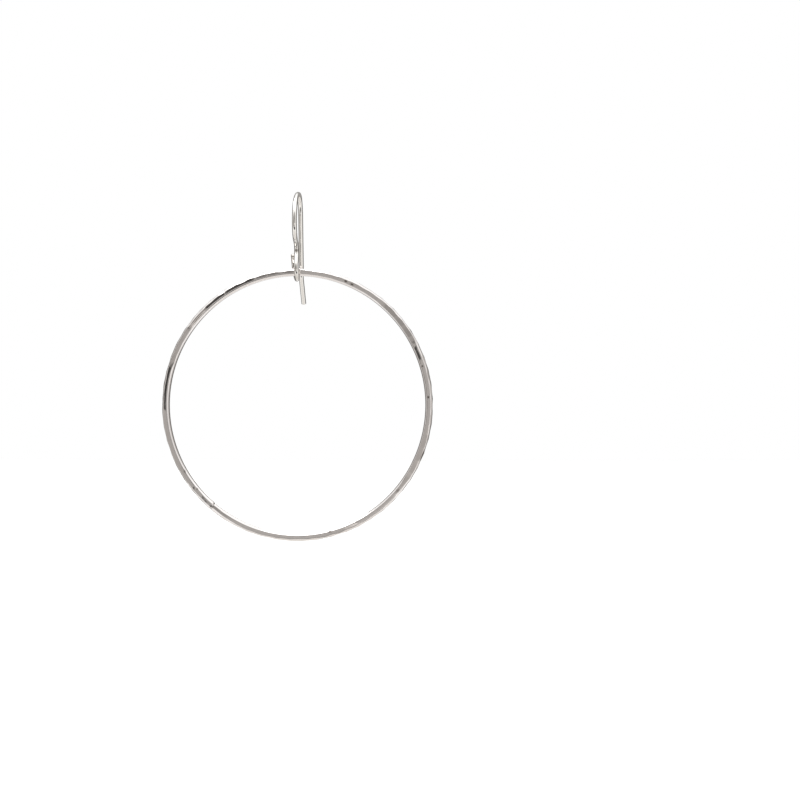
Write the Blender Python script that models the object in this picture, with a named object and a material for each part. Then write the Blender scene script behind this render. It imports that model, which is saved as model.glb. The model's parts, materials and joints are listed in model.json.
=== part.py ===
"""Hoop earring: a hammered silver wire hoop hanging in the eye of a French ear wire.

Metres, +Z up. The origin is the inside top of the ear wire's arch, where the earring hangs in
the ear. +X runs along the plane of the hoop and +Y from the front of the earring to its back.

The ear wire is bent by hand near one upright plane, X = 0, and its eye steps aside to let the
cut end stand beside the neck. The hoop hangs square to that plane, through the eye, and swings
about the line of its own wire where the eye holds it.
"""
import math
import random

import bpy
import numpy as np

# Hoop: a closed ring of round wire, measured before it is hammered
HOOP_OUTER_DIAMETER = 0.0508
HOOP_WIRE_DIAMETER = 0.00145
HOOP_SECTIONS = 180
HOOP_SIDES = 16

# Hammers: the crowns of the round face and of the nearly flat one, and how unevenly blows fall
ROUND_FACE_RADIUS = 0.011
FLAT_FACE_RADIUS = 0.040
BLOW_DRIFT_ALONG = 0.18
BLOW_DRIFT_ROUND = 7.0
BLOW_DRIFT_DEPTH = 0.25
BLOW_SEED = 20
LEAST_FACING = 0.1

# Soldered seam: a shallow waist where the ring's two ends meet
SEAM_ANGLE = -130.0
SEAM_WIDTH = 0.0009
SEAM_DEPTH = 0.00005

# Ear wire: the arch over the ear and the bow of the front limb, along the wire's middle
EAR_WIRE_DIAMETER = 0.00091
ARCH_FRONT_REACH = 0.00702
ARCH_FRONT_DROP = 0.00526
ARCH_BACK_REACH = 0.00338
ARCH_BACK_DROP = 0.00418
NECK_DROP = 0.01042
BOW_FULLNESS = 0.883
NECK_SOFTNESS = 0.42

# Ear wire: the back limb and the flared tail
TAIL_BEND_REACH = 0.00473
TAIL_BEND_DROP = 0.01492
TAIL_BEND_RADIUS = 0.003
TAIL_TIP_REACH = 0.00826
TAIL_TIP_DROP = 0.02006

# Ear wire: the eye, its round inside, and the heights of its neck and cut end above that round
EYE_INNER_DIAMETER = 0.00298
EYE_FORWARD = 0.0003
NECK_FORWARD = 0.0004
NECK_RISE = 0.00147
CUT_END_BACK = 0.00065
CUT_END_RISE = 0.0007
SHOULDER_HANDLE = 0.0009
STEP_ASIDE_START = 0.18

# Ear wire: how far the hand-bent wire strays sideways, at the tail's tip, the tail's bend, the
# back limb's top, the arch's top, the front limb's top, the neck, and the eye's start, middle
# and cut end
STRAYS = (0.0, -0.00008, 0.0, 0.00003, 0.00015, -0.00024, -0.00016, 0.00012, 0.00002)
EYE_START_STRAY = 6
EYE_PIECES = 2

# Clearances: between the eye's two strands, and under the hoop's wire in the eye
STRAND_CLEARANCE = 0.00011
SEAT_CLEARANCE = 0.0001

# How finely the ear wire is laid out
WIRE_STEP = 0.00042
CURVE_COUNT = 40

# Handle length, as a share of the side, that turns a cubic curve into a quarter round
QUARTER_ROUND = 4 / 3 * (math.sqrt(2) - 1)

# The round hammer's rows of blows. Section angle 0 is the ring's outer side and 90 its front.
FRONT_SECTION_ANGLE = 90.0
FRONT_PITCH = 0.0024
ROWS = (
    {"name": "back", "section_angle": -90.0, "pitch": 0.0024, "depth": 0.000075},
    {"name": "outside", "section_angle": 0.0, "pitch": 0.0026, "depth": 0.00009},
    {"name": "front_corner", "section_angle": 45.0, "pitch": 0.0029, "depth": 0.00005},
    {"name": "back_corner", "section_angle": -45.0, "pitch": 0.0029, "depth": 0.00005},
)

# The flat hammer's work on the front: how far across the wire its flats reach at a ring angle,
# as shares of the wire's radius, from -1 on the ring's inner side to 1 on its outer side. Ring
# angle 0 is the +X side and 90 the top.
FRONT_FLATS = (
    {"ring_angle": 19, "inner": -0.52, "outer": 0.32},
    {"ring_angle": 20, "inner": -0.60, "outer": 0.26},
    {"ring_angle": 26, "inner": -0.60, "outer": 0.26},
    {"ring_angle": 28, "inner": -0.62, "outer": 0.62},
    {"ring_angle": 48, "inner": -0.62, "outer": 0.60},
    {"ring_angle": 52, "inner": -0.50, "outer": 0.50},
    {"ring_angle": 72, "inner": -0.42, "outer": 0.42},
    {"ring_angle": 90, "inner": -0.40, "outer": 0.40},
    {"ring_angle": 93, "inner": -0.30, "outer": 0.40},
    {"ring_angle": 107, "inner": -0.28, "outer": 0.42},
    {"ring_angle": 112, "inner": -0.24, "outer": 0.58},
    {"ring_angle": 133, "inner": -0.22, "outer": 0.56},
    {"ring_angle": 134.5, "inner": -0.46, "outer": 0.16},
    {"ring_angle": 143, "inner": -0.46, "outer": 0.16},
    {"ring_angle": 145, "inner": -0.52, "outer": 0.66},
    {"ring_angle": 161, "inner": -0.52, "outer": 0.66},
    {"ring_angle": 163.5, "inner": -0.22, "outer": 0.58},
    {"ring_angle": 182, "inner": -0.20, "outer": 0.58},
    {"ring_angle": 185, "inner": -0.22, "outer": 0.84},
    {"ring_angle": 204, "inner": -0.24, "outer": 0.84},
    {"ring_angle": 206, "inner": -0.56, "outer": 0.68},
    {"ring_angle": 217, "inner": -0.56, "outer": 0.66},
    {"ring_angle": 219, "inner": -0.42, "outer": 0.54},
    {"ring_angle": 225, "inner": -0.40, "outer": 0.52},
    {"ring_angle": 226, "inner": -0.13, "outer": 0.54},
    {"ring_angle": 229.5, "inner": -0.13, "outer": 0.54},
    {"ring_angle": 230.5, "inner": -0.52, "outer": 0.22},
    {"ring_angle": 234.5, "inner": -0.50, "outer": 0.22},
    {"ring_angle": 236, "inner": -0.42, "outer": 0.28},
    {"ring_angle": 242, "inner": -0.38, "outer": 0.34},
    {"ring_angle": 246, "inner": -0.30, "outer": 0.50},
    {"ring_angle": 262, "inner": -0.28, "outer": 0.54},
    {"ring_angle": 268, "inner": -0.24, "outer": 0.46},
    {"ring_angle": 275, "inner": -0.22, "outer": 0.48},
    {"ring_angle": 278, "inner": -0.28, "outer": 0.56},
    {"ring_angle": 286, "inner": -0.30, "outer": 0.58},
    {"ring_angle": 292, "inner": -0.30, "outer": 0.52},
    {"ring_angle": 298, "inner": -0.42, "outer": 0.50},
    {"ring_angle": 324, "inner": -0.42, "outer": 0.50},
    {"ring_angle": 327, "inner": -0.60, "outer": 0.70},
    {"ring_angle": 350, "inner": -0.60, "outer": 0.68},
    {"ring_angle": 352, "inner": -0.52, "outer": 0.34},
)

# Places that follow from the sizes
hoop_wire_radius = HOOP_WIRE_DIAMETER / 2
hoop_radius = (HOOP_OUTER_DIAMETER - HOOP_WIRE_DIAMETER) / 2
ear_wire_radius = EAR_WIRE_DIAMETER / 2
arch_top = ear_wire_radius
eye_radius = EYE_INNER_DIAMETER / 2 + ear_wire_radius
eye_centre = np.array([-EYE_FORWARD, arch_top - NECK_DROP - NECK_RISE - eye_radius])
eye_seat = eye_centre[1] - EYE_INNER_DIAMETER / 2
neck = np.array([-EYE_FORWARD - NECK_FORWARD, arch_top - NECK_DROP])
cut_end = eye_centre + np.array([CUT_END_BACK, eye_radius + CUT_END_RISE])


def remove_objects():
    """Empty the scene of whatever it opened with."""
    for thing in list(bpy.data.objects):
        bpy.data.objects.remove(thing, do_unlink=True)


def make_silver(name, colour, roughness):
    """Polished sterling silver."""
    material = bpy.data.materials.new(name)
    material.use_nodes = True
    shader = material.node_tree.nodes["Principled BSDF"]
    shader.inputs["Base Color"].default_value = (*colour, 1.0)
    shader.inputs["Metallic"].default_value = 1.0
    shader.inputs["Roughness"].default_value = roughness
    material.diffuse_color = (*colour, 1.0)
    return material


def cubic(start, start_handle, end_handle, end):
    """Points of a cubic curve from start to end, without the end point itself."""
    along = np.arange(CURVE_COUNT)[:, None] / CURVE_COUNT
    left = 1 - along
    return (left ** 3 * start + 3 * left ** 2 * along * start_handle
            + 3 * left * along ** 2 * end_handle + along ** 3 * end)


def round_corner(before, corner, after, radius):
    """Arc of the given radius that joins the two straight legs meeting at a corner."""
    leg_in = (before - corner) / np.linalg.norm(before - corner)
    leg_out = (after - corner) / np.linalg.norm(after - corner)
    half_angle = math.acos(np.clip(np.dot(leg_in, leg_out), -1, 1)) / 2
    reach = radius / math.tan(half_angle)
    first = corner + leg_in * reach
    last = corner + leg_out * reach
    middle = (leg_in + leg_out) / np.linalg.norm(leg_in + leg_out)
    centre = corner + middle * radius / math.sin(half_angle)
    sweep = np.linspace(0, 1, CURVE_COUNT)[:, None]
    spokes = (first - centre) * (1 - sweep) + (last - centre) * sweep
    return centre + spokes / np.linalg.norm(spokes, axis=1)[:, None] * radius


def touching_angle(point, side):
    """Angle round the eye at which a straight line from a point outside touches its round."""
    offset = point - eye_centre
    spread = math.acos(eye_radius / np.linalg.norm(offset))
    return math.atan2(offset[1], offset[0]) + side * spread


def eye_point(angle):
    """Point at an angle round the eye, measured from its back towards its top."""
    return eye_centre + eye_radius * np.array([math.cos(angle), math.sin(angle)])


def eye_angles():
    """Angles round the eye where the wire comes in from the neck and leaves for the cut end."""
    return touching_angle(neck, 1), touching_angle(cut_end, -1) + math.tau


def aside(turned):
    """How far to the side the wire stands once it has gone a share of the way round the eye.

    Its far strand stands beside the neck: one wire's width and a clearance to the left, reached
    slowly at both ends of the step.
    """
    share = np.clip((turned - STEP_ASIDE_START) / (1 - STEP_ASIDE_START), 0, 1)
    return -(EAR_WIRE_DIAMETER + STRAND_CLEARANCE) * share * share * (3 - 2 * share)


def stray(piece):
    """How far the middle line strays sideways at a place counted in pieces from the tail's tip.

    The strays are known where one piece of the line ends and the next starts, and change
    smoothly between.
    """
    low = np.minimum(np.floor(piece).astype(int), len(STRAYS) - 2)
    share = piece - low
    strays = np.array(STRAYS)
    return strays[low] + (strays[low + 1] - strays[low]) * share * share * (3 - 2 * share)


def hand_bent(count):
    """How far each of the middle line's points strays: the tail's straight end is one step."""
    return stray(np.concatenate([[0.0], 1 + np.arange(count - 1) / CURVE_COUNT]))


def hoop_hinge():
    """Where the hoop's wire rests in the eye: over the lowest point, which stands a little aside."""
    start_angle, end_angle = eye_angles()
    bottom = (math.radians(270) - start_angle) / (end_angle - start_angle)
    sideways = aside(bottom) + stray(EYE_START_STRAY + EYE_PIECES * bottom)
    return (float(sideways), eye_centre[0], eye_seat + SEAT_CLEARANCE + hoop_wire_radius)


def side_view():
    """The ear wire's middle line from tail tip to cut end, as places behind (Y) and up (Z).

    Also returns how far each point has gone round the eye, from 0 in front to 1 behind.
    """
    tail_tip = np.array([TAIL_TIP_REACH, arch_top - TAIL_TIP_DROP])
    tail_bend = np.array([TAIL_BEND_REACH, arch_top - TAIL_BEND_DROP])
    back_spring = np.array([ARCH_BACK_REACH, arch_top - ARCH_BACK_DROP])
    top = np.array([0.0, arch_top])
    front_spring = np.array([-ARCH_FRONT_REACH, arch_top - ARCH_FRONT_DROP])

    up = np.array([0.0, 1.0])
    back = np.array([1.0, 0.0])
    back_rise = (back_spring - tail_bend) / np.linalg.norm(back_spring - tail_bend)
    bow_height = NECK_DROP - ARCH_FRONT_DROP

    arch_back = cubic(back_spring, back_spring + back_rise * ARCH_BACK_DROP * QUARTER_ROUND,
                      top + back * ARCH_BACK_REACH * QUARTER_ROUND, top)
    arch_front = cubic(top, top - back * ARCH_FRONT_REACH * QUARTER_ROUND,
                       front_spring + up * ARCH_FRONT_DROP * QUARTER_ROUND, front_spring)
    bow = cubic(front_spring, front_spring - up * bow_height * BOW_FULLNESS,
                neck + up * bow_height * NECK_SOFTNESS, neck)

    start_angle, end_angle = eye_angles()
    first_touch = eye_point(start_angle)
    eye_heading = np.array([-math.sin(start_angle), math.cos(start_angle)])
    shoulder = cubic(neck, neck - up * SHOULDER_HANDLE,
                     first_touch - eye_heading * SHOULDER_HANDLE, first_touch)
    angles = np.linspace(start_angle, end_angle, EYE_PIECES * CURVE_COUNT)
    eye_round = np.array([eye_point(angle) for angle in angles])

    before_eye = np.vstack([tail_tip[None], round_corner(tail_tip, tail_bend, back_spring,
                                                         TAIL_BEND_RADIUS),
                            arch_back, arch_front, bow, shoulder])
    line = np.vstack([before_eye, eye_round, cut_end[None]])
    turned = np.concatenate([np.zeros(len(before_eye)),
                             (angles - start_angle) / (end_angle - start_angle), [1.0]])
    return line, turned


def ear_wire_line():
    """The ear wire's middle line in space, in even steps."""
    line, turned = side_view()
    points = np.column_stack([aside(turned) + hand_bent(len(line)), line])
    lengths = np.linalg.norm(np.diff(points, axis=0), axis=1)
    travelled = np.concatenate([[0.0], np.cumsum(lengths)])
    places = np.linspace(0, travelled[-1], round(travelled[-1] / WIRE_STEP) + 1)
    return np.column_stack([np.interp(places, travelled, points[:, axis]) for axis in range(3)])


def make_ear_wire(collection):
    """One round wire with flat cut ends, bent along its middle line."""
    points = ear_wire_line()
    curve = bpy.data.curves.new("ear_wire", "CURVE")
    curve.dimensions = "3D"
    curve.bevel_depth = ear_wire_radius
    curve.bevel_resolution = 3
    curve.use_fill_caps = True
    spline = curve.splines.new("POLY")
    spline.points.add(len(points) - 1)
    flat = np.column_stack([points, np.ones(len(points))]).ravel()
    spline.points.foreach_set("co", flat)
    ear_wire = bpy.data.objects.new("ear_wire", curve)
    curve.materials.append(make_silver("ear_wire_silver", (0.88, 0.87, 0.85), 0.14))
    collection.objects.link(ear_wire)
    return ear_wire


def front_flat(ring_angle):
    """Section angle and distance from the wire's middle of the front flat at each ring angle.

    A flat that reaches from one section angle to another leans halfway between them, and lies
    as far from the wire's middle as the radius times the cosine of half the angle between.
    """
    chart_angles = [row["ring_angle"] for row in FRONT_FLATS]
    inner_shares = [row["inner"] for row in FRONT_FLATS]
    outer_shares = [row["outer"] for row in FRONT_FLATS]
    degrees = np.degrees(ring_angle)
    inner = np.arcsin(np.interp(degrees, chart_angles, inner_shares, period=360))
    outer = np.arcsin(np.interp(degrees, chart_angles, outer_shares, period=360))
    section_angle = math.radians(FRONT_SECTION_ANGLE) - (inner + outer) / 2
    return section_angle, hoop_wire_radius * np.cos((outer - inner) / 2)


def blow_places(chance, pitch):
    """Ring angles of a row of blows, each a little off its even place."""
    count = round(math.tau * hoop_radius / pitch)
    return [math.tau * (number + chance.uniform(-BLOW_DRIFT_ALONG, BLOW_DRIFT_ALONG)) / count
            for number in range(count)]


def row_blows(chance, row):
    """Blows of an even row: ring angle, section angle and distance, each a little off."""
    blows = []
    for ring_angle in blow_places(chance, row["pitch"]):
        tilt = chance.uniform(-BLOW_DRIFT_ROUND, BLOW_DRIFT_ROUND)
        strength = 1 + chance.uniform(-BLOW_DRIFT_DEPTH, BLOW_DRIFT_DEPTH)
        blows.append((ring_angle, math.radians(row["section_angle"] + tilt),
                      hoop_wire_radius - row["depth"] * strength, ROUND_FACE_RADIUS))
    return blows


def hammered_radius(ring_angle, section_angle):
    """Radius of the hammered wire at each ring angle and section angle.

    A blow leaves a flat at some distance from the wire's middle, rising along the ring as the
    crowned hammer face does: by the square of the way from the blow over twice the face's
    radius. Across the wire a flat at that distance lies distance over cosine away. The lowest
    surface wins, and the round wire is the highest.
    """
    chance = random.Random(BLOW_SEED)
    front_section, front_distance = front_flat(ring_angle)
    blows = [(place, front_section, front_distance, FLAT_FACE_RADIUS)
             for place in blow_places(chance, FRONT_PITCH)]
    for row in ROWS:
        blows += row_blows(chance, row)
    radius = np.full(ring_angle.shape, hoop_wire_radius)
    for blow_ring, blow_section, distance, face_radius in blows:
        turn = (ring_angle - blow_ring + math.pi) % math.tau - math.pi
        rise = (turn * hoop_radius) ** 2 / (2 * face_radius)
        facing = np.cos(section_angle - blow_section)
        radius = np.minimum(radius, (distance + rise) / np.maximum(facing, LEAST_FACING))
    seam_turn = (ring_angle - math.radians(SEAM_ANGLE) + math.pi) % math.tau - math.pi
    seam = np.exp(-(2 * seam_turn * hoop_radius / SEAM_WIDTH) ** 2)
    return radius - SEAM_DEPTH * seam


def make_hoop(collection):
    """Torus stood upright, its wire hammered, with the object's origin on the hinge line."""
    bpy.ops.mesh.primitive_torus_add(
        major_radius=hoop_radius, minor_radius=hoop_wire_radius,
        major_segments=HOOP_SECTIONS, minor_segments=HOOP_SIDES,
        rotation=(math.radians(90), 0, 0))
    bpy.ops.object.transform_apply(location=False, rotation=True, scale=False)
    hoop = bpy.context.object
    hoop.name = "hoop"
    mesh = hoop.data
    mesh.name = "hoop"

    points = np.empty(len(mesh.vertices) * 3)
    mesh.vertices.foreach_get("co", points)
    points = points.reshape(-1, 3)
    ring_angle = np.arctan2(points[:, 2], points[:, 0])
    outward = np.hypot(points[:, 0], points[:, 2]) - hoop_radius
    section_angle = np.arctan2(-points[:, 1], outward)
    radius = hammered_radius(ring_angle, section_angle)
    from_centre = hoop_radius + radius * np.cos(section_angle)
    shaped = np.column_stack([from_centre * np.cos(ring_angle),
                              -radius * np.sin(section_angle),
                              from_centre * np.sin(ring_angle) - hoop_radius])
    mesh.vertices.foreach_set("co", shaped.ravel())
    mesh.update()
    mesh.shade_smooth()

    hoop.location = hoop_hinge()
    mesh.materials.append(make_silver("hoop_silver", (0.84, 0.83, 0.81), 0.16))
    for home in list(hoop.users_collection):
        home.objects.unlink(hoop)
    collection.objects.link(hoop)
    return hoop


def main():
    remove_objects()
    collection = bpy.data.collections.new("hoop_earring")
    bpy.context.scene.collection.children.link(collection)
    make_ear_wire(collection)
    make_hoop(collection)
    bpy.context.view_layer.update()


main()
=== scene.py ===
# %% [markdown]
# Hoop earring, a lesson in cells.
#
# The earring is two pieces of sterling silver: a round ring of wire that was hammered all over
# and soldered shut, and a French ear wire whose eye holds it. Both have their plain solids in
# the imported model. This file gives them their looks: the hammer's flats, the polish, the seam,
# the light that the silver mirrors and the camera. All lengths are metres.
#
# First the imported model is loaded.

# %% Load the imported model
import json
import math
import random

import bpy
import numpy as np
from mathutils import Euler, Matrix


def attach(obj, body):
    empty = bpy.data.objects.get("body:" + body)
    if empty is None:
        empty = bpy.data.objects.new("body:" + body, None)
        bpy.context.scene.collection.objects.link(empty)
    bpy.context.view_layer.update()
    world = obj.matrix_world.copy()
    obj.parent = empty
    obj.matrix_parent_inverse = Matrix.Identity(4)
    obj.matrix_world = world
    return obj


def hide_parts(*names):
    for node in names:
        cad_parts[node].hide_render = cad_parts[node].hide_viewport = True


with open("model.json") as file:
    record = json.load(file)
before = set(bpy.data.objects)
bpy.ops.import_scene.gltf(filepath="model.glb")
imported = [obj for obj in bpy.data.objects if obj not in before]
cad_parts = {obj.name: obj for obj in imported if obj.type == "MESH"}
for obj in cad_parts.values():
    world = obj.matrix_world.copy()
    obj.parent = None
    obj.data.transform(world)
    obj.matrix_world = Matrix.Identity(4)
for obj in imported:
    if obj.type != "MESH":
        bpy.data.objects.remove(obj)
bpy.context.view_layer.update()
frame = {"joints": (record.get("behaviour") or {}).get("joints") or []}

hinge = np.array(frame["joints"][0]["pos_m"])
print("The hoop swings about a line through", np.round(hinge * 1000, 3).tolist(), "mm")

# %% [markdown]
# A piece of this earring is a surface with two parameters: one runs along the wire and one runs
# round it. A grid of such points is all that a mesh needs, because the faces of a grid follow
# from its rows and columns. One function does that for both pieces. Besides the faces it lays
# out a UV map in centimetres, so that scratches can follow the wire at their real size.

# %% Make a mesh from a grid
CENTIMETRE = 0.01


def wire_mesh(name, points, along, around, closed):
    """Mesh from a grid of points whose rows run along a wire and columns round it.

    The columns always close on themselves. The rows close where the wire is a ring; otherwise
    each end gets one flat face. The UV map holds the two lengths, in centimetres.
    """
    rows, columns = points.shape[:2]
    steps = rows if closed else rows - 1
    row, column = np.meshgrid(np.arange(steps), np.arange(columns), indexing="ij")
    next_row = (row + 1) % rows
    next_column = (column + 1) % columns
    quads = np.stack([row * columns + column, row * columns + next_column,
                      next_row * columns + next_column, next_row * columns + column], axis=-1)
    faces = quads.reshape(-1, 4).tolist()
    if not closed:
        faces.append(list(range(columns))[::-1])
        faces.append(list(range((rows - 1) * columns, rows * columns)))
    mesh = bpy.data.meshes.new(name)
    mesh.from_pydata(points.reshape(-1, 3).tolist(), [], faces)
    corner_along = np.stack([along[row], along[row], along[row + 1], along[row + 1]], axis=-1)
    corner_around = np.stack([around[column], around[column + 1],
                              around[column + 1], around[column]], axis=-1)
    lengths = np.stack([corner_along, corner_around], axis=-1).reshape(-1, 2) / CENTIMETRE
    missing = len(mesh.loops) - len(lengths)
    layout = mesh.uv_layers.new(name="length_map")
    layout.data.foreach_set("uv", np.vstack([lengths, np.zeros((missing, 2))]).ravel())
    mesh.shade_smooth()
    mesh.validate()
    return mesh


def add_piece(mesh, body, node):
    """Put a finished mesh in the scene, riding on its body in the place of its solid."""
    piece = bpy.data.objects.new(mesh.name, mesh)
    bpy.context.scene.collection.objects.link(piece)
    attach(piece, body)
    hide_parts(node)
    mesh.calc_loop_triangles()
    corners = np.empty(len(mesh.vertices) * 3)
    mesh.vertices.foreach_get("co", corners)
    corners = corners.reshape(-1, 3)
    triangles = np.empty(len(mesh.loop_triangles) * 3, dtype=np.int32)
    mesh.loop_triangles.foreach_get("vertices", triangles)
    first, second, third = corners[triangles.reshape(-1, 3)].transpose(1, 0, 2)
    volume = np.einsum("ij,ij->i", first, np.cross(second, third)).sum() / 6
    print(mesh.name, "has", len(mesh.loop_triangles), "triangles and holds",
          round(volume * 1e9, 1), "cubic mm, more than 0 if its faces point out")
    return piece


def remember(mesh, name, values):
    """Keep one number for each point of a mesh, for its material to read."""
    mesh.attributes.new(name, "FLOAT", "POINT").data.foreach_set("value", values.ravel())


# %% [markdown]
# The hoop is a ring of 1.45 mm round wire, 50.8 mm across, that a smith planished: the front was
# struck with a nearly flat hammer until it was a chain of long, bright flats, and the outside,
# the back and the corners with a rounder one. One could model each dent with a brush or a
# boolean. Here the surface is worked out instead: a blow can only take away what stands above
# its flat, so the hammered wire is the lowest of the round wire and all the flats.
#
# The front flats are what the eye sees, so their edges are charted: at ring angles from the
# wearer's side, how far across the wire the flat reaches, as a share of the wire's radius, from
# -1 on the ring's inner side to 1 on its outer side. Between two rows the edges run straight.

# %% Chart the hammer's blows
HOOP_OUTER_DIAMETER = 0.0508
HOOP_WIRE_DIAMETER = 0.00145
BLOW_DRIFT_ALONG = 0.18
BLOW_DRIFT_ROUND = 7.0
BLOW_DRIFT_DEPTH = 0.25
BLOW_SEED = 20
ROUND_FACE_RADIUS = 0.011
FLAT_FACE_RADIUS = 0.040
FRONT_PITCH = 0.0024
FRONT_SECTION_ANGLE = 90.0

ROWS = (
    {"name": "back", "section_angle": -90.0, "pitch": 0.0024, "depth": 0.000075},
    {"name": "outside", "section_angle": 0.0, "pitch": 0.0026, "depth": 0.00009},
    {"name": "front_corner", "section_angle": 45.0, "pitch": 0.0029, "depth": 0.00005},
    {"name": "back_corner", "section_angle": -45.0, "pitch": 0.0029, "depth": 0.00005},
)

FRONT_FLATS = (
    {"ring_angle": 18.5, "inner": -0.52, "outer": 0.32},
    {"ring_angle": 21, "inner": -0.60, "outer": 0.26},
    {"ring_angle": 25, "inner": -0.60, "outer": 0.26},
    {"ring_angle": 28.5, "inner": -0.62, "outer": 0.68},
    {"ring_angle": 48, "inner": -0.62, "outer": 0.66},
    {"ring_angle": 52, "inner": -0.50, "outer": 0.50},
    {"ring_angle": 72, "inner": -0.42, "outer": 0.42},
    {"ring_angle": 90, "inner": -0.40, "outer": 0.40},
    {"ring_angle": 93, "inner": -0.30, "outer": 0.40},
    {"ring_angle": 107, "inner": -0.28, "outer": 0.42},
    {"ring_angle": 112, "inner": -0.24, "outer": 0.58},
    {"ring_angle": 133, "inner": -0.22, "outer": 0.56},
    {"ring_angle": 134.5, "inner": -0.46, "outer": 0.16},
    {"ring_angle": 143, "inner": -0.46, "outer": 0.16},
    {"ring_angle": 145, "inner": -0.52, "outer": 0.66},
    {"ring_angle": 161, "inner": -0.52, "outer": 0.66},
    {"ring_angle": 165.5, "inner": -0.22, "outer": 0.58},
    {"ring_angle": 182, "inner": -0.20, "outer": 0.58},
    {"ring_angle": 185, "inner": -0.22, "outer": 0.84},
    {"ring_angle": 202, "inner": -0.24, "outer": 0.84},
    {"ring_angle": 208, "inner": -0.36, "outer": 0.76},
    {"ring_angle": 218, "inner": -0.36, "outer": 0.74},
    {"ring_angle": 219.5, "inner": -0.42, "outer": 0.54},
    {"ring_angle": 223.5, "inner": -0.40, "outer": 0.52},
    {"ring_angle": 226, "inner": -0.13, "outer": 0.54},
    {"ring_angle": 229.5, "inner": -0.13, "outer": 0.54},
    {"ring_angle": 230.5, "inner": -0.52, "outer": 0.22},
    {"ring_angle": 234.5, "inner": -0.50, "outer": 0.22},
    {"ring_angle": 236, "inner": -0.42, "outer": 0.28},
    {"ring_angle": 242, "inner": -0.38, "outer": 0.34},
    {"ring_angle": 246, "inner": -0.30, "outer": 0.50},
    {"ring_angle": 262, "inner": -0.28, "outer": 0.54},
    {"ring_angle": 268, "inner": -0.24, "outer": 0.46},
    {"ring_angle": 275, "inner": -0.22, "outer": 0.48},
    {"ring_angle": 278, "inner": -0.28, "outer": 0.56},
    {"ring_angle": 286, "inner": -0.30, "outer": 0.58},
    {"ring_angle": 293, "inner": -0.30, "outer": 0.54},
    {"ring_angle": 299, "inner": -0.36, "outer": 0.44},
    {"ring_angle": 322, "inner": -0.36, "outer": 0.44},
    {"ring_angle": 327, "inner": -0.60, "outer": 0.70},
    {"ring_angle": 347, "inner": -0.60, "outer": 0.68},
    {"ring_angle": 353, "inner": -0.52, "outer": 0.34},
)

hoop_wire_radius = HOOP_WIRE_DIAMETER / 2
hoop_radius = (HOOP_OUTER_DIAMETER - HOOP_WIRE_DIAMETER) / 2


def front_flat(ring_angle):
    """Section angle and distance of the front flat at each ring angle.

    A flat that reaches from one section angle to another leans halfway between them, and lies
    as far from the wire's middle as the radius times the cosine of half the angle between.
    """
    chart_angles = [row["ring_angle"] for row in FRONT_FLATS]
    degrees = np.degrees(ring_angle)
    inner = np.arcsin(np.interp(degrees, chart_angles, [row["inner"] for row in FRONT_FLATS], period=360))
    outer = np.arcsin(np.interp(degrees, chart_angles, [row["outer"] for row in FRONT_FLATS], period=360))
    return (math.radians(FRONT_SECTION_ANGLE) - (inner + outer) / 2,
            hoop_wire_radius * np.cos((outer - inner) / 2))


chance = random.Random(BLOW_SEED)


def blow_places(pitch):
    """Ring angles of a row of blows, each a little off its even place."""
    count = round(math.tau * hoop_radius / pitch)
    return [math.tau * (number + chance.uniform(-BLOW_DRIFT_ALONG, BLOW_DRIFT_ALONG)) / count
            for number in range(count)]


def row_blows(row):
    """Blows of an even row: ring angle, section angle and distance, each a little off."""
    blows = []
    for ring_angle in blow_places(row["pitch"]):
        tilt = chance.uniform(-BLOW_DRIFT_ROUND, BLOW_DRIFT_ROUND)
        strength = 1 + chance.uniform(-BLOW_DRIFT_DEPTH, BLOW_DRIFT_DEPTH)
        blows.append((ring_angle, math.radians(row["section_angle"] + tilt),
                      hoop_wire_radius - row["depth"] * strength))
    return blows


front_places = blow_places(FRONT_PITCH)
other_blows = [blow for row in ROWS for blow in row_blows(row)]
print("The ring takes", len(front_places), "blows on its front and", len(other_blows), "elsewhere")

# %% [markdown]
# Along the ring a flat rises as the crown of the hammer's face does, with the square of the way
# from the blow. Polishing rounds the ridges between the flats a little, so the lowest surface
# is taken softly: where two surfaces are within a few thousandths of a millimetre, both count.
#
# At one place the ring's two ends were soldered. The end on the left stands a little proud and
# its outer corner is rounded off, the other is slightly thinner, and a narrow notch runs
# between them.
#
# Small marks are charted one by one: how far across the wire they lie, their half length and
# half width and their depth in millimetres, and how dark they are made. The dark is partly dirt
# held in the nicks and partly painted reflection, for some of them may be reflections and not
# marks. More than 1 only makes the dark middle larger.

# %% Work out the hammered surface
RING_STEPS = 1440
SECTION_STEPS = 64
RIDGE_SOFTNESS = 0.000004
LEAST_FACING = 0.1
FULLY_STRUCK_DEPTH = 0.0001
SEAM_DIRT = 0.35
SEAM_ANGLE = -130.0
NOTCH_WIDTH = 0.00035
NOTCH_DEPTH = 0.00008
PROUD_END_LENGTH = 0.0011
PROUD_END_HEIGHT = 0.00004
THIN_END_LENGTH = 0.0016
THIN_END_DEPTH = 0.00004

# The last value of each mark darkens it: partly dirt held in the nick, partly painted reflection.
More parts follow.
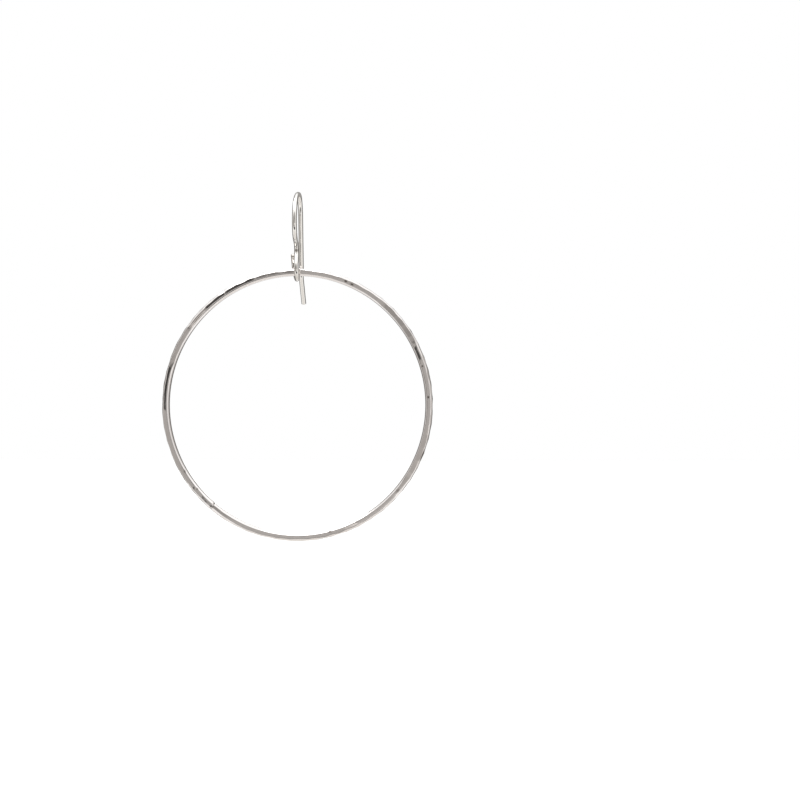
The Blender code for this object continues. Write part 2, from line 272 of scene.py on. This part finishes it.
NICKS = (
    {"ring_angle": 3.3, "across": -0.12, "long": 0.20, "wide": 0.18, "depth": 0.010, "dirt_and_reflection": 1.3},
    {"ring_angle": 17.0, "across": -0.30, "long": 0.18, "wide": 0.16, "depth": 0.020, "dirt_and_reflection": 0.6},
    {"ring_angle": 33.5, "across": 0.84, "long": 0.70, "wide": 0.08, "depth": 0.004, "dirt_and_reflection": 0.6},
    {"ring_angle": 52.0, "across": 0.86, "long": 2.60, "wide": 0.08, "depth": 0.004, "dirt_and_reflection": 0.45},
    {"ring_angle": 65.2, "across": -0.05, "long": 0.26, "wide": 0.18, "depth": 0.015, "dirt_and_reflection": 1.2},
    {"ring_angle": 68.2, "across": 0.12, "long": 0.24, "wide": 0.18, "depth": 0.015, "dirt_and_reflection": 1.4},
    {"ring_angle": 103.0, "across": 0.0, "long": 0.10, "wide": 0.50, "depth": 0.020, "dirt_and_reflection": 0.0},
    {"ring_angle": 108.4, "across": 0.0, "long": 0.10, "wide": 0.50, "depth": 0.020, "dirt_and_reflection": 0.0},
    {"ring_angle": 122.8, "across": 0.10, "long": 0.11, "wide": 0.60, "depth": 0.040, "dirt_and_reflection": 0.0},
    {"ring_angle": 138.8, "across": -0.12, "long": 1.90, "wide": 0.075, "depth": 0.010, "dirt_and_reflection": 1.1},
    {"ring_angle": 138.8, "across": 0.36, "long": 1.90, "wide": 0.075, "depth": 0.010, "dirt_and_reflection": 1.1},
    {"ring_angle": 210.5, "across": -0.40, "long": 0.30, "wide": 0.14, "depth": 0.020, "dirt_and_reflection": 0.7},
    {"ring_angle": 220.0, "across": -0.38, "long": 0.16, "wide": 0.18, "depth": 0.030, "dirt_and_reflection": 0.8},
    {"ring_angle": 284.8, "across": -0.50, "long": 0.26, "wide": 0.20, "depth": 0.015, "dirt_and_reflection": 1.2},
    {"ring_angle": 297.5, "across": -0.52, "long": 0.30, "wide": 0.15, "depth": 0.015, "dirt_and_reflection": 0.7},
    {"ring_angle": 312.0, "across": -0.66, "long": 5.00, "wide": 0.06, "depth": 0.003, "dirt_and_reflection": 0.6},
    {"ring_angle": 320.0, "across": 0.0, "long": 0.40, "wide": 0.20, "depth": 0.010, "dirt_and_reflection": 0.6},
    {"ring_angle": 338.0, "across": 0.78, "long": 1.20, "wide": 0.13, "depth": 0.004, "dirt_and_reflection": 1.5},
    {"ring_angle": 354.0, "across": 0.88, "long": 2.40, "wide": 0.09, "depth": 0.004, "dirt_and_reflection": 0.6},
)
MILLIMETRE = 0.001


def hammered_radius(ring_angle, section_angle):
    """Radius of the hammered wire at each ring angle and section angle.

    Soft minimum of the round radius and, for each blow, distance plus rise over the cosine of
    the angle from the blow: minus softness times the logarithm of the sum of exponentials.
    """
    total = np.ones(np.broadcast(ring_angle, section_angle).shape)
    front_section, front_distance = front_flat(ring_angle)
    blows = [(place, front_section, front_distance, FLAT_FACE_RADIUS) for place in front_places]
    blows += [(*blow, ROUND_FACE_RADIUS) for blow in other_blows]
    for blow_ring, blow_section, distance, face_radius in blows:
        turn = (ring_angle - blow_ring + math.pi) % math.tau - math.pi
        rise = (turn * hoop_radius) ** 2 / (2 * face_radius)
        facing = np.cos(section_angle - blow_section)
        near = rise < hoop_wire_radius / 2
        flat = (distance + rise) / np.maximum(facing, LEAST_FACING)
        total += np.where(near, np.exp((hoop_wire_radius - flat) / RIDGE_SOFTNESS), 0)
    return hoop_wire_radius - RIDGE_SOFTNESS * np.log(total)


def way_round(ring_angle, centre):
    """Length along the ring from a place given in degrees, less than 0 before it."""
    return ((ring_angle - math.radians(centre) + math.pi) % math.tau - math.pi) * hoop_radius


def seam_change(ring_angle):
    """What the soldered seam adds to the radius: a proud end, a thin end and a notch."""
    way = way_round(ring_angle, SEAM_ANGLE)
    proud = np.where(way < 0, PROUD_END_HEIGHT * np.exp(-(way / PROUD_END_LENGTH) ** 2), 0)
    thin = np.where(way > 0, THIN_END_DEPTH * np.exp(-(way / THIN_END_LENGTH) ** 2), 0)
    notch = NOTCH_DEPTH * np.exp(-(2 * way / NOTCH_WIDTH) ** 2)
    return proud - thin - notch


def nick_cover(ring_angle, section_angle):
    """How deep each place lies in a nick, and how dark it is made, partly dirt and partly painted
    reflection: two bell curves crossed.
    """
    depth = np.zeros(np.broadcast(ring_angle, section_angle).shape)
    dirt_and_reflection = depth.copy()
    for nick in NICKS:
        middle = math.radians(FRONT_SECTION_ANGLE) - math.asin(nick["across"])
        along = way_round(ring_angle, nick["ring_angle"]) / (nick["long"] * MILLIMETRE)
        over = (section_angle - middle + math.pi) % math.tau - math.pi
        over = over * hoop_wire_radius / (nick["wide"] * MILLIMETRE)
        cover = np.exp(-along ** 2 - over ** 2)
        depth += nick["depth"] * MILLIMETRE * cover
        # Darkening of the marks, partly dirt and partly painted reflection.
        dirt_and_reflection += nick["dirt_and_reflection"] * cover
    return depth, np.clip(dirt_and_reflection, 0, 1)


ring_angle = np.arange(RING_STEPS)[:, None] * math.tau / RING_STEPS
section_angle = -np.arange(SECTION_STEPS)[None] * math.tau / SECTION_STEPS
plain_radius = hammered_radius(ring_angle, section_angle)
# How dark each place is made: dirt in the nicks and painted reflection.
nick_depth, nick_dirt_and_reflection = nick_cover(ring_angle, section_angle)
wire_radius = plain_radius + seam_change(ring_angle) - nick_depth
from_centre = hoop_radius + wire_radius * np.cos(section_angle)
hoop_centre = hinge - np.array([0, 0, hoop_radius])
hoop_points = hoop_centre + np.stack([from_centre * np.cos(ring_angle),
                                      -wire_radius * np.sin(section_angle),
                                      from_centre * np.sin(ring_angle)], axis=-1)
hoop_mesh = wire_mesh("hammered_hoop", hoop_points,
                      np.arange(RING_STEPS + 1) * math.tau / RING_STEPS * hoop_radius,
                      np.arange(SECTION_STEPS + 1) * math.tau / SECTION_STEPS * hoop_wire_radius,
                      closed=True)
seam_dirt = SEAM_DIRT * np.exp(-(2 * way_round(ring_angle, SEAM_ANGLE) / NOTCH_WIDTH) ** 2)
remember(hoop_mesh, "struck", np.clip((hoop_wire_radius - plain_radius) / FULLY_STRUCK_DEPTH, 0, 1))
# The darkening mask holds dirt in the nicks, painted reflection on some marks and the seam's dark joint.
remember(hoop_mesh, "tarnish_and_painted_shade", np.clip(nick_dirt_and_reflection + seam_dirt, 0, 1))
hoop_piece = add_piece(hoop_mesh, "hoop", "hoop")

# %% [markdown]
# The ear wire is one length of 0.91 mm wire. From its tail it rises behind the ear, arches over
# to the front, bows down to the neck and turns one eye, whose cut end stands beside the neck.
# A curve object with a bevel would give the same tube. Here the route is worked out as in the
# solid, and a circle is carried along it, because the ends can then be finished as they are
# after the cutters and the file: flat, with the sharp edge just taken off.

# %% Lay the ear wire's route
EAR_WIRE_DIAMETER = 0.00091
ARCH_FRONT_REACH = 0.00702
ARCH_FRONT_DROP = 0.00526
ARCH_BACK_REACH = 0.00338
ARCH_BACK_DROP = 0.00418
NECK_DROP = 0.01042
BOW_FULLNESS = 0.883
NECK_SOFTNESS = 0.42
TAIL_BEND_REACH = 0.00473
TAIL_BEND_DROP = 0.01492
TAIL_BEND_RADIUS = 0.003
TAIL_TIP_REACH = 0.00826
TAIL_TIP_DROP = 0.02006
EYE_INNER_DIAMETER = 0.00298
EYE_FORWARD = 0.0003
NECK_FORWARD = 0.0004
NECK_RISE = 0.00147
CUT_END_BACK = 0.00065
CUT_END_RISE = 0.0007
SHOULDER_HANDLE = 0.0009
STEP_ASIDE_START = 0.18
STRAND_CLEARANCE = 0.00011
ROUTE_COUNT = 160
QUARTER_ROUND = 4 / 3 * (math.sqrt(2) - 1)

# Sideways at the tail's tip, the tail's bend, the back limb's top, the arch's top, the front
# limb's top, the neck, and the eye's start, middle and cut end
STRAYS = (0.0, -0.00008, 0.0, 0.00003, 0.00015, -0.00024, -0.00016, 0.00012, 0.00002)

ear_wire_radius = EAR_WIRE_DIAMETER / 2
arch_top = ear_wire_radius
eye_radius = EYE_INNER_DIAMETER / 2 + ear_wire_radius
eye_centre = np.array([-EYE_FORWARD, arch_top - NECK_DROP - NECK_RISE - eye_radius])
neck = np.array([-EYE_FORWARD - NECK_FORWARD, arch_top - NECK_DROP])
cut_end = eye_centre + np.array([CUT_END_BACK, eye_radius + CUT_END_RISE])
tail_tip = np.array([TAIL_TIP_REACH, arch_top - TAIL_TIP_DROP])
tail_bend = np.array([TAIL_BEND_REACH, arch_top - TAIL_BEND_DROP])
back_spring = np.array([ARCH_BACK_REACH, arch_top - ARCH_BACK_DROP])
arch_middle = np.array([0.0, arch_top])
front_spring = np.array([-ARCH_FRONT_REACH, arch_top - ARCH_FRONT_DROP])
up = np.array([0.0, 1.0])
back = np.array([1.0, 0.0])


def cubic(start, start_handle, end_handle, end):
    """Points of a cubic curve from start to end, without the end point itself."""
    share = np.arange(ROUTE_COUNT)[:, None] / ROUTE_COUNT
    left = 1 - share
    return (left ** 3 * start + 3 * left ** 2 * share * start_handle
            + 3 * left * share ** 2 * end_handle + share ** 3 * end)


def round_corner(before, corner, after, radius):
    """Arc of the given radius that joins the two straight legs meeting at a corner."""
    leg_in = (before - corner) / np.linalg.norm(before - corner)
    leg_out = (after - corner) / np.linalg.norm(after - corner)
    half_angle = math.acos(leg_in @ leg_out) / 2
    reach = radius / math.tan(half_angle)
    middle = (leg_in + leg_out) / np.linalg.norm(leg_in + leg_out)
    centre = corner + middle * radius / math.sin(half_angle)
    sweep = np.linspace(0, 1, ROUTE_COUNT)[:, None]
    spokes = (corner + leg_in * reach - centre) * (1 - sweep) + (corner + leg_out * reach - centre) * sweep
    return centre + spokes / np.linalg.norm(spokes, axis=1)[:, None] * radius


def touching_angle(point, side):
    """Angle round the eye at which a straight line from a point outside touches its round."""
    offset = point - eye_centre
    return math.atan2(offset[1], offset[0]) + side * math.acos(eye_radius / np.linalg.norm(offset))


def step_aside(turned):
    """How far to the side the wire stands after a share of the eye: smoothly to one wire's width."""
    share = np.clip((turned - STEP_ASIDE_START) / (1 - STEP_ASIDE_START), 0, 1)
    return -(EAR_WIRE_DIAMETER + STRAND_CLEARANCE) * share ** 2 * (3 - 2 * share)


def hand_bent(count):
    """How far a hand-bent wire strays sideways: smoothly from one end of a piece to the next."""
    piece = np.concatenate([[0.0], 1 + np.arange(count - 1) / ROUTE_COUNT])
    low = np.minimum(piece.astype(int), len(STRAYS) - 2)
    share = piece - low
    strays = np.array(STRAYS)
    return strays[low] + (strays[low + 1] - strays[low]) * share ** 2 * (3 - 2 * share)


back_rise = (back_spring - tail_bend) / np.linalg.norm(back_spring - tail_bend)
bow_height = NECK_DROP - ARCH_FRONT_DROP
arch_back = cubic(back_spring, back_spring + back_rise * ARCH_BACK_DROP * QUARTER_ROUND,
                  arch_middle + back * ARCH_BACK_REACH * QUARTER_ROUND, arch_middle)
arch_front = cubic(arch_middle, arch_middle - back * ARCH_FRONT_REACH * QUARTER_ROUND,
                   front_spring + up * ARCH_FRONT_DROP * QUARTER_ROUND, front_spring)
bow = cubic(front_spring, front_spring - up * bow_height * BOW_FULLNESS,
            neck + up * bow_height * NECK_SOFTNESS, neck)

eye_start = touching_angle(neck, 1)
eye_end = touching_angle(cut_end, -1) + math.tau
eye_angles = np.linspace(eye_start, eye_end, 2 * ROUTE_COUNT)
eye_round = eye_centre + eye_radius * np.column_stack([np.cos(eye_angles), np.sin(eye_angles)])
eye_heading = np.array([-math.sin(eye_start), math.cos(eye_start)])
shoulder = cubic(neck, neck - up * SHOULDER_HANDLE,
                 eye_round[0] - eye_heading * SHOULDER_HANDLE, eye_round[0])

before_eye = np.vstack([tail_tip[None], round_corner(tail_tip, tail_bend, back_spring, TAIL_BEND_RADIUS),
                        arch_back, arch_front, bow, shoulder])
side_route = np.vstack([before_eye, eye_round, cut_end[None]])
turned = np.concatenate([np.zeros(len(before_eye)),
                         (eye_angles - eye_start) / (eye_end - eye_start), [1.0]])
route = np.column_stack([step_aside(turned) + hand_bent(len(side_route)), side_route])
travelled = np.concatenate([[0.0], np.cumsum(np.linalg.norm(np.diff(route, axis=0), axis=1))])
print("The ear wire is", round(travelled[-1] * 1000, 1), "mm long")

# %% [markdown]
# A circle carried along a route needs two directions square to it. This wire never runs
# sideways, so the sideways direction, made square to the wire, always serves as the first, and
# the second is square to both. No twist can build up.
#
# The rim of the cut end is darkened a little, the tight bend of the neck gets painted shade,
# and the eye, where the ring rubs, is duller than the rest.

# %% Carry a circle along the route
EAR_WIRE_STEP = 0.0001
EAR_WIRE_SIDES = 32
EDGE_WIDTH = 0.00006
# Darkening of the cut end's rim: its strength and its length along the wire.
RIM_DARKENING = 1.0
RIM_DARKENING_LENGTH = 0.0002
# Painted shade in the neck's tight bend: its strength and its length along the wire.
NECK_PAINTED_SHADE = 0.6
NECK_PAINTED_SHADE_LENGTH = 0.00045
EYE_WEAR_RISE = 4
END_RINGS = (
    {"in": 0.0, "share": 0.70},
    {"in": 0.0, "share": 0.84},
    {"in": 0.25, "share": 0.94},
    {"in": 1.0, "share": 1.0},
)

ring_count = round(travelled[-1] / EAR_WIRE_STEP) + 1
places = np.linspace(0, travelled[-1], ring_count)
near_start = np.array([ring["in"] * EDGE_WIDTH for ring in END_RINGS])
places = np.concatenate([near_start, places[1:-1], travelled[-1] - near_start[::-1]])
share_start = np.array([ring["share"] for ring in END_RINGS])
ring_share = np.concatenate([share_start, np.ones(ring_count - 2), share_start[::-1]])
middle = np.column_stack([np.interp(places, travelled, route[:, axis]) for axis in range(3)])
ahead = np.column_stack([np.interp(places + EAR_WIRE_STEP, travelled, route[:, axis]) for axis in range(3)])
behind = np.column_stack([np.interp(places - EAR_WIRE_STEP, travelled, route[:, axis]) for axis in range(3)])
heading = ahead - behind
heading /= np.linalg.norm(heading, axis=1)[:, None]
sideways = np.array([1.0, 0.0, 0.0]) - heading[:, :1] * heading
sideways /= np.linalg.norm(sideways, axis=1)[:, None]
upright = np.cross(heading, sideways)
spoke = np.arange(EAR_WIRE_SIDES)[None, :, None] * math.tau / EAR_WIRE_SIDES
circle = np.cos(spoke) * sideways[:, None] + np.sin(spoke) * upright[:, None]
ear_wire_points = middle[:, None] + ear_wire_radius * ring_share[:, None, None] * circle
ear_wire_mesh = wire_mesh("bent_ear_wire", ear_wire_points, places,
                          np.arange(EAR_WIRE_SIDES + 1) * math.tau / EAR_WIRE_SIDES * ear_wire_radius,
                          closed=False)
into_eye = np.interp(places, travelled, turned)
from_cut_end = travelled[-1] - places
# Darker at the rim of the cut end.
rim_darkening = np.where(ring_share > END_RINGS[0]["share"],
                  RIM_DARKENING * np.exp(-(from_cut_end / RIM_DARKENING_LENGTH) ** 2), 0)
from_neck = places - travelled[len(before_eye) - ROUTE_COUNT]
# Painted shade at the neck's tight bend.
neck_painted_shade = NECK_PAINTED_SHADE * np.exp(-(from_neck / NECK_PAINTED_SHADE_LENGTH) ** 2)
remember(ear_wire_mesh, "struck", np.repeat(np.clip(into_eye * EYE_WEAR_RISE, 0, 1), EAR_WIRE_SIDES))
# The darkening mask holds the darkened rim of the cut end and painted shade at the neck.
remember(ear_wire_mesh, "tarnish_and_painted_shade", np.repeat(rim_darkening + neck_painted_shade, EAR_WIRE_SIDES))
ear_wire_piece = add_piece(ear_wire_mesh, "ear_wire", "ear_wire")

# %% [markdown]
# Both pieces are sterling silver, hand polished. A polished metal has no colour of its own in
# the shadows and lights: it mirrors the room, tinted slightly warm. What tells silver from
# chrome is that the mirror isn't perfect: fine polishing lines run along the wire, the surface
# keeps a faint ripple under the polish, and the struck hollows are a touch duller than the
# ridges, which clothes and fingers keep bright.

# %% Mix the silver
POLISHING_LINE_WIDTH = 0.00012
POLISHING_LINE_LENGTH = 0.0030
RIPPLE_WIDTH = 0.0007
DULL_PATCH_WIDTH = 0.0035
# Colour and roughness that the darkening mask mixes in: tarnish, and also painted shade and painted
# reflection.
TARNISH_AND_SHADE_COLOUR = "#6f655d"
TARNISH_AND_SHADE_ROUGHNESS = 0.15


def linear(hex_colour):
    """Linear red, green, blue and full alpha from an sRGB hex value."""
    shares = [int(hex_colour[place:place + 2], 16) / 255 for place in (1, 3, 5)]
    return tuple(s / 12.92 if s <= 0.04045 else ((s + 0.055) / 1.055) ** 2.4 for s in shares) + (1.0,)


def add_node(tree, kind, settings=None, inputs=None, links=None):
    """Add a node, set its properties and sockets, and link sockets to other nodes' outputs."""
    node = tree.nodes.new(kind)
    for name, value in (settings or {}).items():
        setattr(node, name, value)
    for socket, value in (inputs or {}).items():
        node.inputs[socket].default_value = value
    for socket, output in (links or {}).items():
        tree.links.new(output, node.inputs[socket])
    return node


def polished_silver(name, colour, dull_colour, roughness, ripple_height, line_height):
    """Sterling silver after hand polishing, duller where the struck attribute is high."""
    material = bpy.data.materials.new(name)
    material.use_nodes = True
    tree = material.node_tree
    shader = tree.nodes["Principled BSDF"]
    shader.inputs["Metallic"].default_value = 1.0

    place = add_node(tree, "ShaderNodeTexCoord")
    length_map = add_node(tree, "ShaderNodeUVMap", {"uv_map": "length_map"})
    struck = add_node(tree, "ShaderNodeAttribute", {"attribute_name": "struck"})

    patches = add_node(tree, "ShaderNodeTexNoise",
                       inputs={"Scale": 1 / DULL_PATCH_WIDTH, "Detail": 3.0},
                       links={"Vector": place.outputs["Object"]})
    dullness = add_node(tree, "ShaderNodeMath", {"operation": "MULTIPLY"},
                        links={0: patches.outputs["Fac"], 1: struck.outputs["Fac"]})
    tint = add_node(tree, "ShaderNodeMix", {"data_type": "RGBA"},
                    inputs={6: linear(colour), 7: linear(dull_colour)},
                    links={0: dullness.outputs[0]})
    # Where the darkening mask is high the silver takes the tarnish colour, which also paints shade and
    # reflection.
    tarnish_and_painted_shade = add_node(tree, "ShaderNodeAttribute", {"attribute_name": "tarnish_and_painted_shade"})
    darkened = add_node(tree, "ShaderNodeMix", {"data_type": "RGBA"},
                        inputs={7: linear(TARNISH_AND_SHADE_COLOUR)},
                        links={0: tarnish_and_painted_shade.outputs["Fac"], 6: tint.outputs[2]})
    tree.links.new(darkened.outputs[2], shader.inputs["Base Color"])
    blur = add_node(tree, "ShaderNodeMapRange",
                    inputs={"To Min": roughness[0], "To Max": roughness[1]},
                    links={"Value": dullness.outputs[0]})
    blurred = add_node(tree, "ShaderNodeMath", {"operation": "MULTIPLY_ADD"},
                       inputs={1: TARNISH_AND_SHADE_ROUGHNESS},
                       links={0: tarnish_and_painted_shade.outputs["Fac"], 2: blur.outputs["Result"]})
    tree.links.new(blurred.outputs[0], shader.inputs["Roughness"])

    ripple = add_node(tree, "ShaderNodeTexNoise",
                      inputs={"Scale": 1 / RIPPLE_WIDTH, "Detail": 2.0},
                      links={"Vector": place.outputs["Object"]})
    ripple_bump = add_node(tree, "ShaderNodeBump", inputs={"Distance": ripple_height},
                           links={"Height": ripple.outputs["Fac"]})
    stretch = (CENTIMETRE / POLISHING_LINE_LENGTH, CENTIMETRE / POLISHING_LINE_WIDTH, 1.0)
    along_wire = add_node(tree, "ShaderNodeMapping", inputs={"Scale": stretch},
                          links={"Vector": length_map.outputs["UV"]})
    lines = add_node(tree, "ShaderNodeTexNoise", {"noise_dimensions": "2D"},
                     inputs={"Scale": 1.0, "Detail": 2.0},
                     links={"Vector": along_wire.outputs["Vector"]})
    line_bump = add_node(tree, "ShaderNodeBump", inputs={"Distance": line_height},
                         links={"Height": lines.outputs["Fac"], "Normal": ripple_bump.outputs["Normal"]})
    tree.links.new(line_bump.outputs["Normal"], shader.inputs["Normal"])
    return material


hoop_mesh.materials.append(polished_silver("hammered_silver", "#f2eeec", "#e2dcd8", (0.09, 0.15),
                                           0.0000025, 0.0000008))
ear_wire_mesh.materials.append(polished_silver("drawn_silver", "#f1efeb", "#dedad4", (0.08, 0.14),
                                               0.0000004, 0.0000002))

# %% [markdown]
# Silver looks like what stands round it, so the room is the other half of its finish. It is a
# photographer's white tent with an opening at the front, where the dim room shows. On the
# front of the wire that opening is the grey band, and past it the tent's walls are white.
# The room is drawn in the world's nodes as soft patches on the sky. A patch has a direction,
# as azimuth from the front towards +X and elevation, two half widths in degrees, a softness
# and a brightness. The tent's walls are plain white behind the object, also where the camera
# looks past it.

# %% Pitch the white tent
TENT_BRIGHTNESS = 1.2
BACKDROP_BRIGHTNESS = 1.0
PATCH_THICKNESS = 0.7
WALL_COLOUR = "#ffffff"
ROOM_COLOUR = "#fffbf7"

ROOM = (
    {"name": "under", "azimuth": 0, "elevation": -90, "wide": 50, "high": 50, "turn": 0,
     "soft": 0.35, "brightness": 0.84},
    {"name": "left_wall", "azimuth": -84, "elevation": 0, "wide": 26, "high": 38, "turn": 0,
     "soft": 0.3, "brightness": 0.62},
    {"name": "right_wall", "azimuth": 84, "elevation": 0, "wide": 26, "high": 38, "turn": 0,
     "soft": 0.3, "brightness": 0.62},
    {"name": "back_left", "azimuth": -136, "elevation": 0, "wide": 42, "high": 46, "turn": 0,
     "soft": 0.25, "brightness": 0.18},
    {"name": "back_right", "azimuth": 136, "elevation": 0, "wide": 42, "high": 46, "turn": 0,
     "soft": 0.25, "brightness": 0.18},
    {"name": "left_side", "azimuth": -52, "elevation": -12, "wide": 18, "high": 16, "turn": 0,
     "soft": 0.3, "brightness": 0.46},
    {"name": "behind", "azimuth": 180, "elevation": 0, "wide": 30, "high": 34, "turn": 0,
     "soft": 0.3, "brightness": 0.36},
    {"name": "opening", "azimuth": -3, "elevation": 8, "wide": 62, "high": 40, "turn": 0,
     "soft": 0.14, "brightness": 0.46},
    {"name": "table_edge", "azimuth": 4, "elevation": -38, "wide": 34, "high": 11, "turn": 0,
     "soft": 0.25, "brightness": 0.07},
    {"name": "table_top", "azimuth": 18, "elevation": -12.5, "wide": 26, "high": 4.5, "turn": 0,
     "soft": 0.25, "brightness": 0.90},
    {"name": "dark_upper_left", "azimuth": -19, "elevation": 19, "wide": 11, "high": 6.5, "turn": -33,
     "soft": 0.3, "brightness": 0.06},
    {"name": "dark_left", "azimuth": -29.5, "elevation": 3, "wide": 7, "high": 10, "turn": 0,
     "soft": 0.3, "brightness": 0.05},
    {"name": "dark_left_foot", "azimuth": -26, "elevation": -7.5, "wide": 5, "high": 5.5, "turn": 0,
     "soft": 0.3, "brightness": 0.06},
    {"name": "dark_low_left", "azimuth": -25, "elevation": -20, "wide": 5, "high": 4.5, "turn": 0,
     "soft": 0.35, "brightness": 0.08},
    {"name": "dim_upper_right", "azimuth": 3, "elevation": 12, "wide": 6.5, "high": 5, "turn": 0,
     "soft": 0.4, "brightness": 0.30},
    {"name": "dim_top", "azimuth": -9, "elevation": 10, "wide": 6, "high": 5, "turn": 0,
     "soft": 0.5, "brightness": 0.22},
    {"name": "dim_right", "azimuth": -1, "elevation": 4.4, "wide": 4, "high": 3, "turn": 0,
     "soft": 0.5, "brightness": 0.32},
)


def light(hex_colour, brightness):
    """Linear colour of a light: the colour's linear values times the brightness."""
    red, green, blue, alpha = linear(hex_colour)
    return (red * brightness, green * brightness, blue * brightness, alpha)


def hang_room():
    """World whose light is white with the room's soft patches laid over it in turn."""
    world = bpy.data.worlds.new("white_tent")
    world.use_nodes = True
    tree = world.node_tree
    tree.nodes.clear()
    direction = add_node(tree, "ShaderNodeTexCoord")
    shade = None
    for patch in ROOM:
        azimuth = math.radians(patch["azimuth"])
        elevation = math.radians(patch["elevation"])
        towards = (math.sin(azimuth) * math.cos(elevation),
                   -math.cos(azimuth) * math.cos(elevation), math.sin(elevation))
        turned_to = (Matrix.Rotation(azimuth, 3, "Z") @ Matrix.Rotation(-elevation, 3, "X")
                     @ Matrix.Rotation(math.radians(patch["turn"]), 3, "Y")).to_euler("XYZ")
        wide = math.sin(math.radians(patch["wide"]))
        high = math.sin(math.radians(patch["high"]))
        local = add_node(tree, "ShaderNodeMapping", {"vector_type": "TEXTURE"},
                         inputs={"Location": towards, "Rotation": turned_to,
                                 "Scale": (wide, PATCH_THICKNESS, high)},
                         links={"Vector": direction.outputs["Generated"]})
        away = add_node(tree, "ShaderNodeVectorMath", {"operation": "LENGTH"},
                        links={0: local.outputs["Vector"]})
        cover = add_node(tree, "ShaderNodeMapRange", {"interpolation_type": "SMOOTHSTEP"},
                         inputs={"From Min": 1 - patch["soft"], "From Max": 1 + patch["soft"],
                                 "To Min": 1.0, "To Max": 0.0},
                         links={"Value": away.outputs["Value"]})
        mixed = add_node(tree, "ShaderNodeMix", {"data_type": "RGBA"},
                         inputs={6: light(WALL_COLOUR, TENT_BRIGHTNESS),
                                 7: light(ROOM_COLOUR, patch["brightness"])},
                         links={0: cover.outputs["Result"]})
        if shade:
            tree.links.new(shade.outputs[2], mixed.inputs[6])
        shade = mixed
    room = add_node(tree, "ShaderNodeBackground", links={"Color": shade.outputs[2]})
    backdrop = add_node(tree, "ShaderNodeBackground",
                        inputs={"Color": light(WALL_COLOUR, BACKDROP_BRIGHTNESS)})
    rays = add_node(tree, "ShaderNodeLightPath")
    both = add_node(tree, "ShaderNodeMixShader",
                    links={0: rays.outputs["Is Camera Ray"], 1: room.outputs[0], 2: backdrop.outputs[0]})
    add_node(tree, "ShaderNodeOutputWorld", links={"Surface": both.outputs[0]})
    bpy.context.scene.world = world


hang_room()
bpy.context.scene.view_settings.view_transform = "Standard"
print("The tent has", len(ROOM), "soft patches")

# %% [markdown]
# The floor is a plain pale sheet below the earring, and one large soft lamp above lights it.
# The sheet is kept out of the silver's reflections, where the tent shows instead.

# %% Lay the floor and hang the lamp
FLOOR_DEPTH = 0.11
FLOOR_SIZE = 6.0
LAMP_SIZE = 3.0
LAMP_POWER = 80.0
LAMP_PLACE = (-0.9, 0.0, 3.2)

bpy.ops.mesh.primitive_plane_add(size=FLOOR_SIZE, location=(0, 0, -FLOOR_DEPTH))
floor = bpy.context.object
floor.name = "floor"
floor.visible_glossy = False
pale_sheet = bpy.data.materials.new("pale_sheet")
pale_sheet.use_nodes = True
pale_sheet.node_tree.nodes["Principled BSDF"].inputs["Base Color"].default_value = linear("#f7f7f6")
pale_sheet.node_tree.nodes["Principled BSDF"].inputs["Roughness"].default_value = 0.9
pale_sheet.node_tree.nodes["Principled BSDF"].inputs["Specular IOR Level"].default_value = 0.0
floor.data.materials.append(pale_sheet)

lamp_light = bpy.data.lights.new("soft_lamp", "AREA")
lamp_light.size = LAMP_SIZE
lamp_light.energy = LAMP_POWER
lamp = bpy.data.objects.new("soft_lamp", lamp_light)
lamp.location = LAMP_PLACE
lamp.rotation_euler = Euler((0, math.atan2(LAMP_PLACE[0], LAMP_PLACE[2]), 0))
bpy.context.scene.collection.objects.link(lamp)

# %% [markdown]
# The photograph was taken from straight ahead, level with the hoop's middle and a little to
# its right, so the hoop is seen turned by a few degrees and the ear wire almost edge on. The
# camera stands where a hoop of this size fills as many pixels as it does there, and its lens
# puts the hoop's middle on the photograph's pixel.

# %% Set up the camera
PICTURE_SIZE = 800
SENSOR_WIDTH = 36.0
HOOP_MIDDLE_PIXEL = (297.08, 404.8)
HOOP_PIXELS_ACROSS = 272.9
CAMERA_DISTANCE = 0.560
CAMERA_AZIMUTH = 5.24
NEAREST_SEEN = 0.01

pixel = HOOP_OUTER_DIAMETER / HOOP_PIXELS_ACROSS
azimuth = math.radians(CAMERA_AZIMUTH)
to_right = np.array([math.cos(azimuth), math.sin(azimuth), 0.0])
to_back = np.array([-math.sin(azimuth), math.cos(azimuth), 0.0])
to_top = np.array([0.0, 0.0, 1.0])
camera_place = (hoop_centre - to_back * CAMERA_DISTANCE
                + to_right * (PICTURE_SIZE / 2 - HOOP_MIDDLE_PIXEL[0]) * pixel
                + to_top * (HOOP_MIDDLE_PIXEL[1] - PICTURE_SIZE / 2) * pixel)
camera_data = bpy.data.cameras.new("camera")
camera_data.sensor_width = SENSOR_WIDTH
camera_data.lens = CAMERA_DISTANCE / pixel * SENSOR_WIDTH / PICTURE_SIZE
camera_data.clip_start = NEAREST_SEEN
camera = bpy.data.objects.new("camera", camera_data)
camera.location = camera_place
camera.rotation_euler = Euler((math.radians(90), 0, azimuth))
bpy.context.scene.collection.objects.link(camera)
bpy.context.scene.camera = camera
print("Lens", round(camera_data.lens, 1), "mm at", np.round(camera_place * 1000, 1).tolist())
